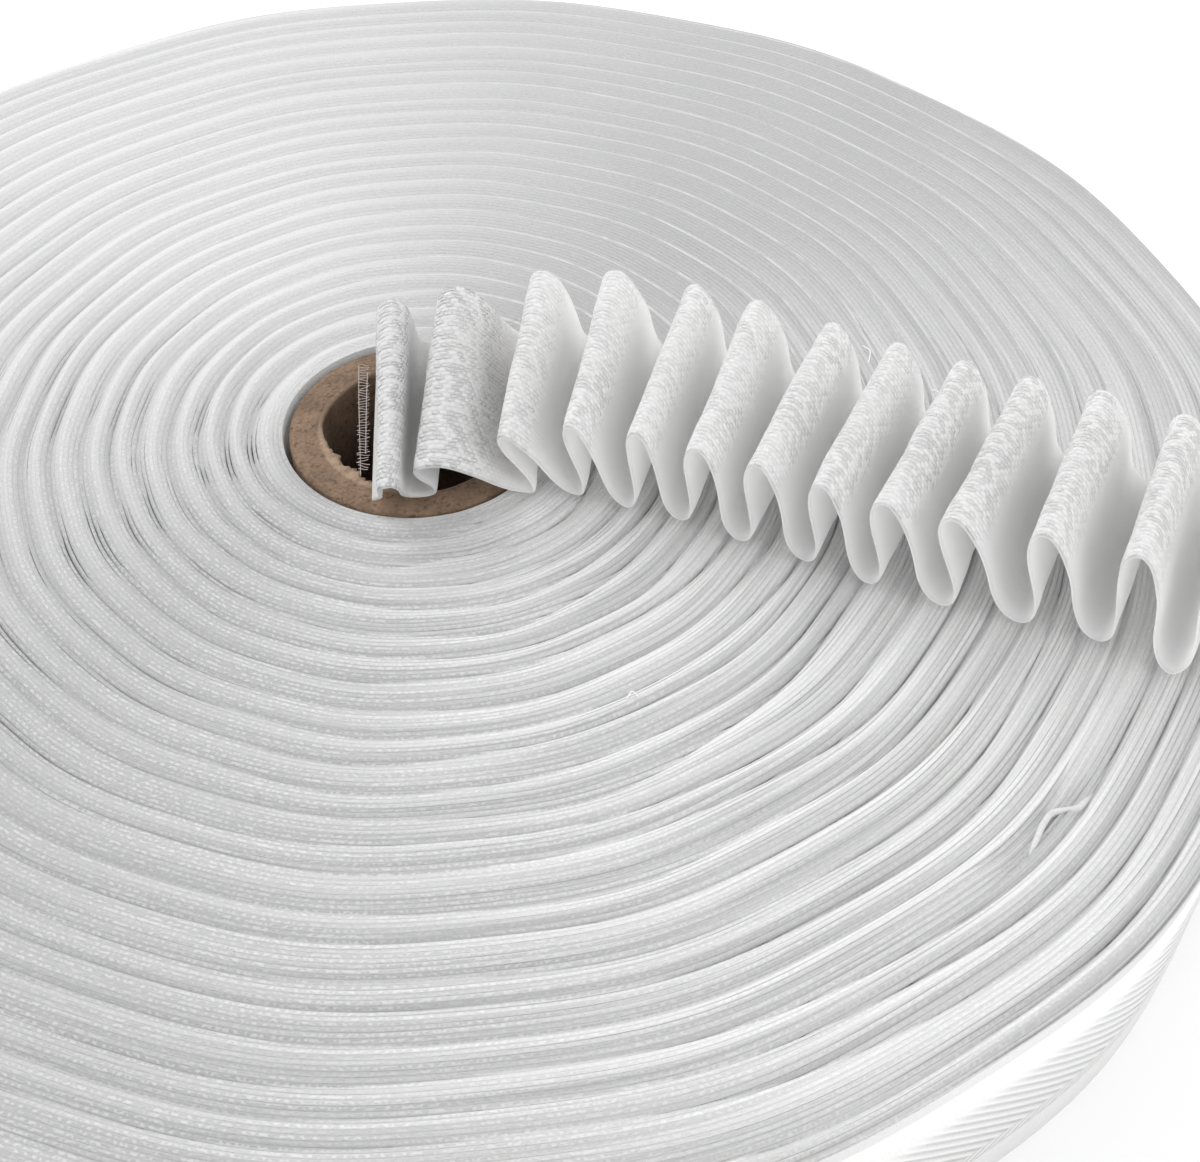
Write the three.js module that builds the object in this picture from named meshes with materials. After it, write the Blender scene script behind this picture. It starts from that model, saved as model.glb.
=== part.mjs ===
// Roll of white woven heading tape lying on its flat side, with its loose end
// drawn into pleats and laid across the face. Millimetres, +Z up, floor at z = 0.
// Origin: on the floor under the centre of the roll's rim. Front of the roll: -Y.
import * as THREE from 'three';
import { mergeVertices } from 'three/addons/utils/BufferGeometryUtils.js';

// Wound roll
const TAPE_WIDTH = 25;
const ROLL_RADIUS = 92.5;
const ROLL_SEGMENTS = 72;
const BORE_GAP = 0.3;
const BAND_COUNT = 24;
const BAND_DEPTH = 1.0;
const RIM_ROUND = 1.0;
const RIM_CORNERS = 14;
const RIM_CORNER_HEIGHT = 0.3;
const LAYER_DRIFT = 0.35;
const CROWN_DROP = 0.35;

// Cardboard core
const CORE_RADIUS = 14;
const CORE_WALL = 3.9;
const CORE_HEIGHT = 24.6;
const CORE_EDGE = 0.4;
const CORE_SEGMENTS = 48;
const CORE_CENTRE = { x: -2.4, y: -0.4 };

// Gathered loose end
const SHEET_THICKNESS = 1.0;
const FACE_GAP = 0.3;
const STEPS_PER_WALL = 8;
const STEPS_ACROSS = 4;
const FOLD_FULLNESS = 0.19;
const FLAP_FULLNESS = 0.05;

// Each fold crest: plan position of its near and far end from the core's centre,
// and their heights above the roll's face.
const CRESTS = [
  { nearX: -3.4, nearY: -16.6, farX: -1.7, farY: 7.3, nearRise: 7.0, farRise: 12.0 },
  { nearX: 1.6, nearY: -14.2, farX: 5.8, farY: 8.6, nearRise: 7.0, farRise: 12.0 },
  { nearX: 8.7, nearY: -12.2, farX: 15.5, farY: 10.5, nearRise: 8.5, farRise: 12.0 },
  { nearX: 15.6, nearY: -13.2, farX: 23.5, farY: 10.3, nearRise: 10.0, farRise: 11.5 },
  { nearX: 22.0, nearY: -15.4, farX: 32.1, farY: 7.4, nearRise: 10.5, farRise: 11.0 },
  { nearX: 27.7, nearY: -19.2, farX: 38.5, farY: 3.9, nearRise: 11.0, farRise: 11.0 },
  { nearX: 33.3, nearY: -22.0, farX: 45.8, farY: -0.8, nearRise: 11.0, farRise: 11.0 },
  { nearX: 39.0, nearY: -25.6, farX: 52.0, farY: -4.8, nearRise: 11.0, farRise: 11.0 },
  { nearX: 44.6, nearY: -28.8, farX: 58.3, farY: -8.5, nearRise: 11.0, farRise: 11.0 },
  { nearX: 50.7, nearY: -31.6, farX: 64.5, farY: -11.7, nearRise: 11.0, farRise: 11.0 },
  { nearX: 58.9, nearY: -34.7, farX: 71.4, farY: -14.9, nearRise: 11.0, farRise: 11.0 },
  { nearX: 67.2, nearY: -38.6, farX: 78.7, farY: -19.5, nearRise: 11.0, farRise: 11.0 },
  { nearX: 74.5, nearY: -42.3, farX: 85.0, farY: -24.0, nearRise: 10.5, farRise: 10.5 },
];

// Each fold bottom, from the cut end over the core to the plain end near the rim.
const BOTTOMS = [
  { nearX: -5.2, nearY: -13.5, farX: -4.6, farY: 10.4 },
  { nearX: -0.8, nearY: -11.8, farX: 3.4, farY: 12.0 },
  { nearX: 11.5, nearY: -12.6, farX: 14.2, farY: 12.0 },
  { nearX: 16.3, nearY: -13.4, farX: 22.1, farY: 10.3 },
  { nearX: 21.2, nearY: -15.9, farX: 30.6, farY: 7.9 },
  { nearX: 26.4, nearY: -18.4, farX: 37.3, farY: 4.5 },
  { nearX: 32.2, nearY: -22.0, farX: 44.5, farY: 0.1 },
  { nearX: 38.2, nearY: -25.6, farX: 50.9, farY: -4.1 },
  { nearX: 43.9, nearY: -29.5, farX: 57.2, farY: -7.8 },
  { nearX: 50.6, nearY: -33.2, farX: 63.4, farY: -11.1 },
  { nearX: 57.8, nearY: -36.3, farX: 70.2, farY: -14.3 },
  { nearX: 64.6, nearY: -39.6, farX: 77.4, farY: -18.7 },
  { nearX: 70.4, nearY: -44.6, farX: 83.9, farY: -23.2 },
  { nearX: 77.6, nearY: -46.4, farX: 88.2, farY: -26.6 },
];
const FLAP_CREST = 1;

const tapeMaterial = new THREE.MeshStandardMaterial({ color: 0xeeeeec, roughness: 0.85 });
const gatherMaterial = new THREE.MeshStandardMaterial({ color: 0xf2f2f0, roughness: 0.85 });
const boardMaterial = new THREE.MeshStandardMaterial({ color: 0x9c7c5e, roughness: 0.9 });

// Welds a geometry's shared corners into one closed skin and shades it again.
function closed(geometry) {
  geometry.deleteAttribute('normal');
  geometry.deleteAttribute('uv');
  const skin = mergeVertices(geometry, 1e-4);
  skin.computeVertexNormals();
  return skin;
}

// Turns a closed outline of (radius, height) points about Z.
function turned(points, segments) {
  const outline = [...points, points[0]].map((p) => new THREE.Vector2(p.radius, p.height));
  const skin = new THREE.LatheGeometry(outline, segments);
  skin.rotateX(Math.PI / 2);
  return closed(skin);
}

// Radius at which a band starts; the bands differ a little in width.
function bandEdge(index) {
  const inner = CORE_RADIUS + BORE_GAP + 0.8;
  const outer = ROLL_RADIUS - RIM_ROUND;
  const sway = 0.28 * Math.sin(1.7 * index) * Math.sin((Math.PI * index) / BAND_COUNT);
  return inner + ((outer - inner) * (index + sway)) / BAND_COUNT;
}

function rollOutline() {
  const bore = CORE_RADIUS + BORE_GAP;
  const points = [
    { radius: bore, height: 0 },
    { radius: (bore + ROLL_RADIUS) / 2, height: 0 },
    { radius: ROLL_RADIUS - RIM_ROUND / 2, height: 0 },
    { radius: ROLL_RADIUS, height: RIM_ROUND / 2 },
    { radius: ROLL_RADIUS, height: TAPE_WIDTH - RIM_ROUND },
  ];
  for (let band = BAND_COUNT; band > 0; band -= 1) {
    const outer = bandEdge(band);
    const inner = bandEdge(band - 1);
    points.push({ radius: outer, height: TAPE_WIDTH - BAND_DEPTH });
    points.push({ radius: outer + (inner - outer) * 0.33, height: TAPE_WIDTH });
    points.push({ radius: outer + (inner - outer) * 0.7, height: TAPE_WIDTH - 0.1 });
  }
  points.push({ radius: bandEdge(0), height: TAPE_WIDTH - BAND_DEPTH });
  points.push({ radius: bore, height: TAPE_WIDTH - BAND_DEPTH });
  return points;
}

// How far out from the bore a radius lies: 0 at the bore, 1 at the rim.
function outwardShare(radius) {
  const bore = CORE_RADIUS + BORE_GAP;
  return (radius - bore) / (ROLL_RADIUS - bore);
}

function woundRoll() {
  const skin = turned(rollOutline(), ROLL_SEGMENTS);
  const place = skin.getAttribute('position');
  for (let i = 0; i < place.count; i += 1) {
    const radius = Math.hypot(place.getX(i), place.getY(i));
    const angle = Math.atan2(place.getY(i), place.getX(i));
    const height = place.getZ(i);
    const share = outwardShare(radius);
    const loose = Math.min(1, share * 4);
    const corner = RIM_CORNER_HEIGHT * share * Math.cos(RIM_CORNERS * angle);
    const drift = LAYER_DRIFT * loose * Math.sin(2 * angle + radius / 9) * (1 - share);
    const reach = radius + corner + drift - RIM_CORNER_HEIGHT * share;
    const dip = height > TAPE_WIDTH / 2 ? CROWN_DROP * (0.5 + 0.5 * Math.sin(2 * angle + radius)) : 0;
    place.setXYZ(
      i,
      CORE_CENTRE.x * (1 - share) + reach * Math.cos(angle),
      CORE_CENTRE.y * (1 - share) + reach * Math.sin(angle),
      height - dip * loose,
    );
  }
  skin.computeVertexNormals();
  return skin;
}

function coreTube() {
  const bore = CORE_RADIUS - CORE_WALL;
  const skin = turned(
    [
      { radius: bore + CORE_EDGE, height: 0 },
      { radius: CORE_RADIUS - CORE_EDGE, height: 0 },
      { radius: CORE_RADIUS, height: CORE_EDGE },
      { radius: CORE_RADIUS, height: CORE_HEIGHT - CORE_EDGE },
      { radius: CORE_RADIUS - CORE_EDGE, height: CORE_HEIGHT },
      { radius: bore + CORE_EDGE, height: CORE_HEIGHT },
      { radius: bore, height: CORE_HEIGHT - CORE_EDGE },
      { radius: bore, height: CORE_EDGE },
    ],
    CORE_SEGMENTS,
  );
  skin.translate(CORE_CENTRE.x, CORE_CENTRE.y, 0);
  return skin;
}

function mix(a, b, share) {
  return a + (b - a) * share;
}

// Middle line of the pleated sheet on its near (side 0) or far (side 1) selvedge.
// walk runs over the walls: even walls rise to a crest, odd walls fall from it.
function edgePoint(side, walk) {
  const wall = Math.min(Math.floor(walk), CRESTS.length * 2 - 1);
  const share = walk - wall;
  const index = Math.floor(wall / 2);
  const rising = wall % 2 === 0;
  const end = side === 0 ? 'near' : 'far';
  const crest = CRESTS[index];
  const before = BOTTOMS[index];
  const after = BOTTOMS[index + 1];
  const middleX = (before[`${end}X`] + after[`${end}X`]) / 2;
  const middleY = (before[`${end}Y`] + after[`${end}Y`]) / 2;
  const full = index === FLAP_CREST && !rising ? FLAP_FULLNESS : FOLD_FULLNESS;
  const along = share + full * Math.sin(2 * Math.PI * share);
  const lift = (1 - Math.cos(Math.PI * share)) / 2;
  const climbed = rising ? lift : 1 - lift;
  const foot = rising ? before : after;
  const toMiddle = rising ? along : 1 - along;
  const floor = TAPE_WIDTH + FACE_GAP + SHEET_THICKNESS / 2;
  const startX = mix(foot[`${end}X`], middleX, toMiddle);
  const startY = mix(foot[`${end}Y`], middleY, toMiddle);
  return new THREE.Vector3(
    CORE_CENTRE.x + startX + (crest[`${end}X`] - middleX) * climbed,
    CORE_CENTRE.y + startY + (crest[`${end}Y`] - middleY) * climbed,
    floor + (TAPE_WIDTH + crest[`${end}Rise`] - floor) * climbed,
  );
}

function sheetPoint(across, walk) {
  return edgePoint(0, walk).lerp(edgePoint(1, walk), across);
}

function gatheredEnd() {
  const walls = CRESTS.length * 2;
  const skin = closed(new THREE.BoxGeometry(1, 1, 1, walls * STEPS_PER_WALL, STEPS_ACROSS, 1));
  const place = skin.getAttribute('position');
  const step = 0.02;
  for (let i = 0; i < place.count; i += 1) {
    const walk = (place.getX(i) + 0.5) * walls;
    const across = place.getY(i) + 0.5;
    const back = sheetPoint(across, Math.max(walk - step, 0));
    const ahead = sheetPoint(across, Math.min(walk + step, walls));
    const middle = sheetPoint(across, walk);
    const width = edgePoint(1, walk).sub(edgePoint(0, walk));
    const normal = ahead.sub(back).cross(width).normalize();
    middle.addScaledVector(normal, place.getZ(i) * SHEET_THICKNESS);
    place.setXYZ(i, middle.x, middle.y, middle.z);
  }
  skin.computeVertexNormals();
  return skin;
}

function named(name, geometry, material) {
  const mesh = new THREE.Mesh(geometry, material);
  mesh.name = name;
  return mesh;
}

const part = new THREE.Group();
part.name = 'heading_tape_roll';
part.add(named('wound_roll', woundRoll(), tapeMaterial));
part.add(named('core_tube', coreTube(), boardMaterial));
part.add(named('gathered_end', gatheredEnd(), gatherMaterial));

export default part;
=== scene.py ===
"""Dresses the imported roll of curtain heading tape: its winding, core and gathered end."""

import logging
import math
from dataclasses import dataclass, field
from enum import Enum

import bpy
from mathutils import Matrix, Vector, noise


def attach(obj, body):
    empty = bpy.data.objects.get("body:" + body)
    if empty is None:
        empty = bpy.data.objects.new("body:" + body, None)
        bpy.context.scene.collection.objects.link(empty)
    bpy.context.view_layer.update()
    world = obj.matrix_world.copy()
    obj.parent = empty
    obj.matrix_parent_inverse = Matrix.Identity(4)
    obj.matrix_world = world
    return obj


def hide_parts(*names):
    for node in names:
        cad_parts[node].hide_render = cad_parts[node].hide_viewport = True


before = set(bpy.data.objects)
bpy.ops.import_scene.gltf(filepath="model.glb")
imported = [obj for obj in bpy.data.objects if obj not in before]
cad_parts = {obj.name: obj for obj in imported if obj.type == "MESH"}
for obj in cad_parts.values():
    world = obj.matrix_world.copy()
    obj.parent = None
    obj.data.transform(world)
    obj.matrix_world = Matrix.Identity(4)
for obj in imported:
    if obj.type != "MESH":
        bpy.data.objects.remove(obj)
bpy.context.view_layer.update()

LOG = logging.getLogger("heading_tape_roll")
MM = 0.001
FULL_TURN = 2 * math.pi
Colour = tuple[float, float, float, float]
Point = tuple[float, float, float]


class Domain(Enum):
    """Which kind of node tree a graph belongs to."""

    LOOKS = "looks"
    SHAPE = "shape"


class Wire:
    """One number travelling through a node tree, with Python's operators."""

    def __init__(self, graph: "Graph", socket: bpy.types.NodeSocket) -> None:
        """Wraps a socket.

        Args:
            graph: the graph that the socket belongs to.
            socket: the output socket that carries the number.
        """
        self.graph = graph
        self.socket = socket

    def _math(self, operation: str, *others: object) -> "Wire":
        """Adds a Math node that starts from this number.

        Args:
            operation: the Math node's operation.
            others: the other operands, numbers or wires.

        Returns:
            The node's result.
        """
        return self.graph.math(operation, self, *others)

    def __add__(self, other: object) -> "Wire":
        """Sum."""
        return self._math("ADD", other)

    __radd__ = __add__

    def __sub__(self, other: object) -> "Wire":
        """Difference."""
        return self._math("SUBTRACT", other)

    def __rsub__(self, other: object) -> "Wire":
        """Difference, reflected."""
        return self.graph.math("SUBTRACT", other, self)

    def __mul__(self, other: object) -> "Wire":
        """Product."""
        return self._math("MULTIPLY", other)

    __rmul__ = __mul__

    def __truediv__(self, other: object) -> "Wire":
        """Quotient."""
        return self._math("DIVIDE", other)

    def __rtruediv__(self, other: object) -> "Wire":
        """Quotient, reflected."""
        return self.graph.math("DIVIDE", other, self)

    def __pow__(self, other: object) -> "Wire":
        """Power."""
        return self._math("POWER", other)

    def __rpow__(self, other: object) -> "Wire":
        """Power, reflected."""
        return self.graph.math("POWER", other, self)

    def __neg__(self) -> "Wire":
        """Opposite."""
        return self._math("MULTIPLY", -1.0)

    def __abs__(self) -> "Wire":
        """Size without sign."""
        return self._math("ABSOLUTE")

    def sin(self) -> "Wire":
        """Sine of an angle in radians."""
        return self._math("SINE")

    def cos(self) -> "Wire":
        """Cosine of an angle in radians."""
        return self._math("COSINE")

    def floor(self) -> "Wire":
        """Whole part."""
        return self._math("FLOOR")

    def fract(self) -> "Wire":
        """Part after the point."""
        return self._math("FRACT")

    def least(self, other: object) -> "Wire":
        """The smaller of two."""
        return self._math("MINIMUM", other)

    def most(self, other: object) -> "Wire":
        """The larger of two."""
        return self._math("MAXIMUM", other)

    def toward(self, other: "Wire", share: object) -> "Wire":
        """Moves from this number to another by a share."""
        return self + (other - self) * share

    def ease(self, low: float, high: float) -> "Wire":
        """Smooth step.

        Args:
            low: where the result is 0.
            high: where the result is 1.

        Returns:
            The step, held at its ends.
        """
        node = self.graph.node(
            "ShaderNodeMapRange",
            {"interpolation_type": "SMOOTHSTEP"},
            {"Value": self, "From Min": low, "From Max": high},
        )
        return self.graph.wire(node, "Result")


class Graph:
    """A node tree under construction."""

    def __init__(self, tree: bpy.types.NodeTree, domain: Domain) -> None:
        """Takes over an empty tree.

        Args:
            tree: the tree to fill.
            domain: looks for a material, shape for Geometry Nodes.
        """
        self.tree = tree
        self.domain = domain

    def node(self, kind: str, settings: dict | None = None, values: dict | None = None) -> bpy.types.Node:
        """Adds one node.

        Args:
            kind: the node's type name.
            settings: properties, which are set first.
            values: socket names or numbers, with constants, sockets or wires.

        Returns:
            The new node.
        """
        node = self.tree.nodes.new(kind)
        for name, value in (settings or {}).items():
            setattr(node, name, value)
        for name, value in (values or {}).items():
            self.feed(node.inputs[name], value)
        return node

    def feed(self, socket: bpy.types.NodeSocket, value: object) -> None:
        """Links or sets one input socket.

        Args:
            socket: the input.
            value: a wire or an output to link, or a constant to set.
        """
        if isinstance(value, Wire):
            value = value.socket
        if isinstance(value, bpy.types.NodeSocket):
            self.tree.links.new(value, socket)
        else:
            socket.default_value = value

    def wire(self, node: bpy.types.Node, output: str | int = 0) -> Wire:
        """Wraps an output of a node."""
        return Wire(self, node.outputs[output])

    def math(self, operation: str, *operands: object) -> Wire:
        """Adds a Math node.

        Args:
            operation: the node's operation.
            operands: numbers or wires, in order.

        Returns:
            Its result.
        """
        node = self.node("ShaderNodeMath", {"operation": operation}, dict(enumerate(operands)))
        return self.wire(node)

    def vector(self, x: object, y: object, z: object) -> bpy.types.NodeSocket:
        """Joins three numbers into a vector socket."""
        return self.node("ShaderNodeCombineXYZ", None, {"X": x, "Y": y, "Z": z}).outputs[0]

    def split(self, socket: bpy.types.NodeSocket) -> tuple[Wire, Wire, Wire]:
        """Takes a vector apart into its three numbers."""
        node = self.node("ShaderNodeSeparateXYZ", None, {"Vector": socket})
        return self.wire(node, "X"), self.wire(node, "Y"), self.wire(node, "Z")

    def noise(self, place: bpy.types.NodeSocket, scale: float, detail: float = 2.0) -> Wire:
        """Smooth noise between 0 and 1.

        Args:
            place: the vector that the noise is read at.
            scale: its scale.
            detail: its octaves.

        Returns:
            The noise value.
        """
        node = self.node("ShaderNodeTexNoise", None, {"Vector": place, "Scale": scale, "Detail": detail})
        return self.wire(node, 0)

    def attribute(self, name: str) -> Wire:
        """Reads a number that is stored on the mesh.

        Args:
            name: the attribute's name.

        Returns:
            Its value at each place.
        """
        if self.domain is Domain.LOOKS:
            node = self.node("ShaderNodeAttribute", {"attribute_name": name})
            return self.wire(node, "Fac")
        node = self.node("GeometryNodeInputNamedAttribute", {"data_type": "FLOAT"}, {"Name": name})
        return self.wire(node, "Attribute")

    def blend(self, share: Wire, first: object, second: object) -> bpy.types.NodeSocket:
        """Mixes two colours.

        Args:
            share: 0 for the first, 1 for the second.
            first: a colour or socket.
            second: a colour or socket.

        Returns:
            The mixed colour.
        """
        node = self.node("ShaderNodeMix", {"data_type": "RGBA"}, {"Factor": share})
        colours = [socket for socket in node.inputs if socket.type == "RGBA"]
        self.feed(colours[0], first)
        self.feed(colours[1], second)
        return next(socket for socket in node.outputs if socket.type == "RGBA")


def rgba(red: float, green: float, blue: float) -> Colour:
    """An opaque colour."""
    return (red, green, blue, 1.0)


@dataclass(frozen=True)
class Finish:
    """What every finish shares: a name, a colour and a roughness."""

    name: str
    colour: Colour
    roughness: float = 0.85
    sheen: float = 0.0
    specular: float = 0.3
    bump_depth: float = 0.1 * MM

    def start(self) -> tuple[bpy.types.Material, Graph, bpy.types.Node]:
        """Makes the material and its shader.

        Returns:
            The material, its graph and its Principled shader.
        """
        material = bpy.data.materials.new(self.name)
        material.use_nodes = True
        graph = Graph(material.node_tree, Domain.LOOKS)
        shader = material.node_tree.nodes["Principled BSDF"]
        shader.inputs["Base Color"].default_value = self.colour
        shader.inputs["Roughness"].default_value = self.roughness
        shader.inputs["Sheen Weight"].default_value = self.sheen
        shader.inputs["Specular IOR Level"].default_value = self.specular
        material.diffuse_color = self.colour
        return material, graph, shader

    def bump(self, graph: Graph, shader: bpy.types.Node, height: Wire) -> None:
        """Feeds a height into the shader's normal, 1 being the finish's bump depth.

        Args:
            graph: the material's graph.
            shader: its shader.
            height: the height.
        """
        values = {"Height": height, "Distance": self.bump_depth, "Strength": 1.0}
        node = graph.node("ShaderNodeBump", None, values)
        graph.feed(shader.inputs["Normal"], node.outputs["Normal"])

    @staticmethod
    def spread(graph: Graph, detail: float, *place: object) -> Wire:
        """Noise read at a place that is stretched along the tape."""
        return graph.noise(graph.vector(*place), 1.0, detail)

    @staticmethod
    def place(graph: Graph) -> bpy.types.NodeSocket:
        """The object's own coordinates."""
        return graph.node("ShaderNodeTexCoord").outputs["Object"]


@dataclass(frozen=True)
class EdgeFinish(Finish):
    """White tape seen mostly on its selvedges, with a herringbone band on its flat side."""

    # hollow: the dark end of the face colour, reached through random tone and through the painted shade in
    # the crest attribute.
    hollow: Colour = rgba(0.36, 0.362, 0.362)
    wall: Colour = rgba(0.85, 0.852, 0.848)
    # Painted shade colour for the herringbone's rib grooves and weft lines on the flat side.
    painted_groove_shade: Colour = rgba(0.63, 0.63, 0.63)
    selvedge_foot: float = 22.6 * MM
    selvedge_top: float = 23.4 * MM
    turn_room: float = 0.5 * MM
    rib_pitch: float = 1.65 * MM
    rib_slant: float = 1.2
    band_low: float = 5.0 * MM
    band_high: float = 17.0 * MM
    band_turn: float = 6.8 * MM
    weft_pitch: float = 0.62 * MM
    bump_depth: float = 0.11 * MM

    def build(self) -> bpy.types.Material:
        """Makes the material from the tape's length, width and turn attributes.

        Returns:
            The material.
        """
        material, graph, shader = self.start()
        along = graph.attribute("along")
        across = graph.attribute("across")
        radial = graph.attribute("turn") * self.turn_room + graph.attribute("side")
        place = self.place(graph)
        mottle = graph.noise(place, 45.0, 1.0)
        strand = self.spread(graph, 1.0, along * 1300.0, radial * 6000.0, across * 6000.0)
        fibre = graph.noise(place, 3200.0, 1.0)
        edge = across.ease(self.selvedge_foot, self.selvedge_top)
        row = (graph.attribute("side") * (FULL_TURN / self.turn_room)).cos() * 0.5 + 0.5
        speck = self.spread(graph, 0.0, along * 2300.0, radial * 2600.0, 3.0).ease(0.44, 0.64)
        patchy = self.spread(graph, 0.0, along * 60.0, radial * 500.0, 8.0).ease(0.35, 0.60)
        dot = speck * row * (patchy * 0.6 + 0.4) * edge * (graph.attribute("dotted") * 0.7 + 0.3)
        front = Region.FRONT.weight(graph.attribute("turn") * FULL_TURN, 1.0)
        layer = self.spread(graph, 1.0, along * 18.0, radial * 1500.0, 12.0).ease(0.36, 0.64) - 0.5
        streak = layer * front * edge
        lean = abs(across - self.band_turn) * self.rib_slant
        rib = ((along + lean) * (FULL_TURN / self.rib_pitch)).sin() * 0.5 + 0.5
        inside = across.ease(self.band_low - 0.2 * MM, self.band_low + 0.2 * MM) * (
            1 - across.ease(self.band_high - 1.5 * MM, self.band_high + 1.5 * MM)
        )
        weft = (across * (FULL_TURN / self.weft_pitch)).sin() * 0.5 + 0.5
        grain = weft * (1 - edge) * (1 - inside)
        height = rib * inside * 1.8 + grain * 0.1 + fibre * 0.8 + strand * 0.7 * edge
        self.bump(graph, shader, height)
        # The crest attribute carries painted light and shade: lighter band sides, bright crest lines, a
        # lighter front, back and rim top, and darker right and near-left stretches.
        crest = graph.attribute("crest") * edge
        shade = mottle * 0.1 + strand * 0.14 + dot * 0.35 + crest * 0.5 + streak * 0.32 + 0.22
        colour = graph.blend(shade.least(1.0), self.hollow, self.colour)
        # Painted shade in the rib grooves and weft lines of the herringbone band.
        groove_shade_share = ((1 - rib) * inside * 0.7 + grain * 0.1).least(1.0)
        flat = graph.blend(groove_shade_share, self.wall, self.painted_groove_shade)
        colour = graph.blend(edge, flat, colour)
        graph.feed(shader.inputs["Base Color"], colour)
        return material


@dataclass(frozen=True)
class WeaveFinish(Finish):
    """White tape seen on its flat side: rows of short floats, clearest on the pleats' tops, with painted
    shade on the walls and on the first two pleats.
    """

    # hollow: the dark end of the weave colour, reached through random float tone and as painted shade between
    # floats, on the walls and on the first two pleats.
    hollow: Colour = rgba(0.65, 0.653, 0.653)
    shine_through: Colour = rgba(0.99, 0.99, 0.988)
    row_pitch: float = 0.58 * MM
    float_pitch: float = 0.82 * MM
    glow: float = 0.42
    wall_glow: float = 0.34
    # The first two pleats take painted shade, full up to the first length along the tape and gone by the
    # second.
    painted_shade_until: float = 26 * MM
    painted_shade_gone_at: float = 50 * MM
    bump_depth: float = 0.34 * MM

    def build(self) -> bpy.types.Material:
        """Makes the material from the tape's length, width and pleat attributes.

        Returns:
            The material.
        """
        material, graph, shader = self.start()
        along = graph.attribute("along")
        across = graph.attribute("across")
        crest = graph.attribute("crest")
        depth = graph.attribute("depth")
        place = self.place(graph)
        wander = graph.noise(place, 420.0, 1.0) - 0.5
        row = across / self.row_pitch + wander * 0.45
        column = along / self.float_pitch + row.floor() * 0.5 + wander * 0.5
        hump = (abs(row.fract() - 0.5) * math.pi).cos()
        bead = (abs(column.fract() - 0.5) * math.pi).cos()
        lot = self.spread(graph, 0.0, row.floor() * 0.73, column.floor() * 0.61, 5.0).ease(0.40, 0.58)
        rib = (hump ** 1.2) * (bead ** 0.8) * (lot + 0.25)
        fibre = graph.noise(place, 3000.0, 1.0)
        patch = graph.noise(place, 130.0, 1.0).ease(0.3, 0.65) * 0.35 + 0.65
        show = (crest * 0.9 + 0.1) * patch
        height = rib * show + fibre * 0.25
        self.bump(graph, shader, height)
        # Painted shade on the first two pleats.
        past_painted_shade = along.ease(self.painted_shade_until, self.painted_shade_gone_at)
        # Painted light and shade on the walls: darker next to the crest, lighter down in the valley, darker
        # on the first two pleats.
        wall = (depth.ease(0.45, 0.85) * 0.3 + 0.7) * (past_painted_shade * 0.7 + 0.3)
        # The floats' pattern, with painted shade in the gaps between floats and on the first two pleats.
        floats_and_painted_shade = (rib * patch * 2.0 + 0.28).least(1.0) * (past_painted_shade * 0.45 + 0.55)
        colour = graph.blend(floats_and_painted_shade.toward(wall, 1 - crest), self.hollow, self.colour)
        graph.feed(shader.inputs["Base Color"], colour)
        through = graph.node("ShaderNodeBsdfTranslucent", None, {"Color": self.shine_through})
        # Less light passes through the first two pleats, as painted shade.
        share = ((1 - crest) * self.wall_glow + self.glow) * (past_painted_shade * 0.5 + 0.5)
        mix = graph.node("ShaderNodeMixShader", None, {0: share})
        graph.feed(mix.inputs[1], shader.outputs[0])
        graph.feed(mix.inputs[2], through.outputs[0])
        end = next(node for node in graph.tree.nodes if node.type == "OUTPUT_MATERIAL")
        graph.feed(end.inputs["Surface"], mix.outputs[0])
        return material


@dataclass(frozen=True)
class BoardFinish(Finish):
    """Brown tube board: fibres, flecks, ply rings on its cut top, a paler torn mouth and painted shade that
    darkens it towards its bottom, down the bore.
    """

    shadow: Colour = rgba(0.15, 0.10, 0.068)
    fleck: Colour = rgba(0.08, 0.048, 0.032)
    torn: Colour = rgba(0.46, 0.34, 0.24)
    # inside: the painted shade colour deep in the bore.
    inside: Colour = rgba(0.04, 0.024, 0.02)
    ply: float = 0.55 * MM
    centre: tuple[float, float] = (0.0, 0.0)
    bore: float = 10.5 * MM
    top: float = 24.6 * MM
    painted_shade_full_below: float = 12 * MM
    painted_shade_gone_above: float = 21.5 * MM
    bump_depth: float = 0.12 * MM

    def build(self) -> bpy.types.Material:
        """Makes the material from the object's coordinates.

        Returns:
            The material.
        """
        material, graph, shader = self.start()
        place = self.place(graph)
        x, y, z = graph.split(place)
        radius = ((x - self.centre[0]) ** 2.0 + (y - self.centre[1]) ** 2.0) ** 0.5
        ring = (radius * (FULL_TURN / self.ply)).sin() * 0.5 + 0.5
        patch = graph.noise(place, 320.0, 4.0).ease(0.3, 0.7)
        fibre = graph.noise(place, 2200.0, 4.0).ease(0.3, 0.7)
        fleck = graph.noise(place, 1700.0, 3.0).ease(0.58, 0.68)
        tone = (patch * 0.55 + fibre * 0.40 + ring * 0.05).least(1.0)
        colour = graph.blend(tone, self.shadow, self.colour)
        colour = graph.blend(fleck * 0.6, colour, self.fleck)
        mouth = 1 - radius.ease(self.bore - 0.1 * MM, self.bore + 0.4 * MM)
        torn = mouth * z.ease(self.top - 0.9 * MM, self.top)
        colour = graph.blend(torn * 0.7, colour, self.torn)
        # Painted shade: the board darkens towards its bottom, deep in the bore.
        painted_bore_shade = 1 - z.ease(self.painted_shade_full_below, self.painted_shade_gone_above)
        colour = graph.blend(painted_bore_shade * 0.55, colour, self.inside)
        graph.feed(shader.inputs["Base Color"], colour)
        self.bump(graph, shader, fibre * 0.6 + patch * 0.4 + ring * 0.1)
        return material


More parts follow.
